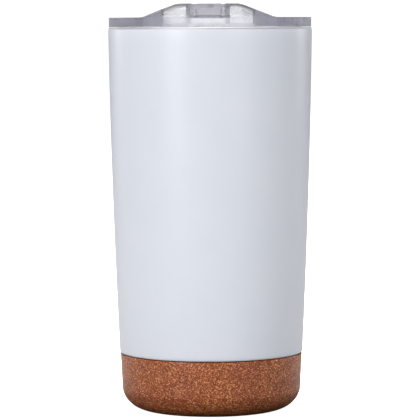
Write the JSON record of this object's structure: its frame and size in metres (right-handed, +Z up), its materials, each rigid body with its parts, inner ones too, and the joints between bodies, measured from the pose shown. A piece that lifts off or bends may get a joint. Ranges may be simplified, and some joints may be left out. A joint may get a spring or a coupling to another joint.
{
  "type": "insulated tumbler",
  "caption": "Rigid vacuum-insulated travel cup: tapered white-coated steel shell, cork foot and a clear push-in lid with a sliding closure.",
  "frame": {"origin": "centre of the flat foot, on the surface it stands on", "axes": "+Z up along the cup's axis, -Y towards the drinking lip, +X to the right when the drinking lip faces the viewer"},
  "size_m": [0.088, 0.088, 0.1755],
  "materials": {
    "white_coat": "satin powder coat",
    "steel": "brushed",
    "seal_glass": "fused bead",
    "getter_metal": "pressed powder",
    "cork": "moulded agglomerated cork",
    "adhesive": "matte",
    "clear_plastic": "clear, polished",
    "slider_plastic": "clear, polished",
    "silicone": "translucent, matte"
  },
  "bodies": {
    "cup": {"outer_shell": "white_coat", "inner_liner": "steel", "base_plate": "steel", "vacuum_seal": "seal_glass", "port_cover": "steel", "getter": "getter_metal", "getter_clip": "steel", "cork_base": "cork", "adhesive_pad": "adhesive"},
    "lid_ring": {"lid_gasket": "silicone"},
    "lid": {"lid_body": "clear_plastic"},
    "closure": {"slider": "slider_plastic", "slider_seal": "silicone"}
  },
  "joints": [
    {"name": "lid_lift", "type": "slide", "parent": "cup", "child": "lid_ring", "axis": [0, 0, 1], "range_m": [0, 0.1]},
    {"name": "lid_turn", "type": "hinge", "parent": "lid_ring", "child": "lid", "pos_m": [0, 0, 0.1656], "axis": [0, 0, 1], "continuous": true},
    {"name": "slider_slide", "type": "slide", "parent": "lid", "child": "closure", "axis": [0, 1, 0], "range_m": [0, 0.014]}
  ]
}
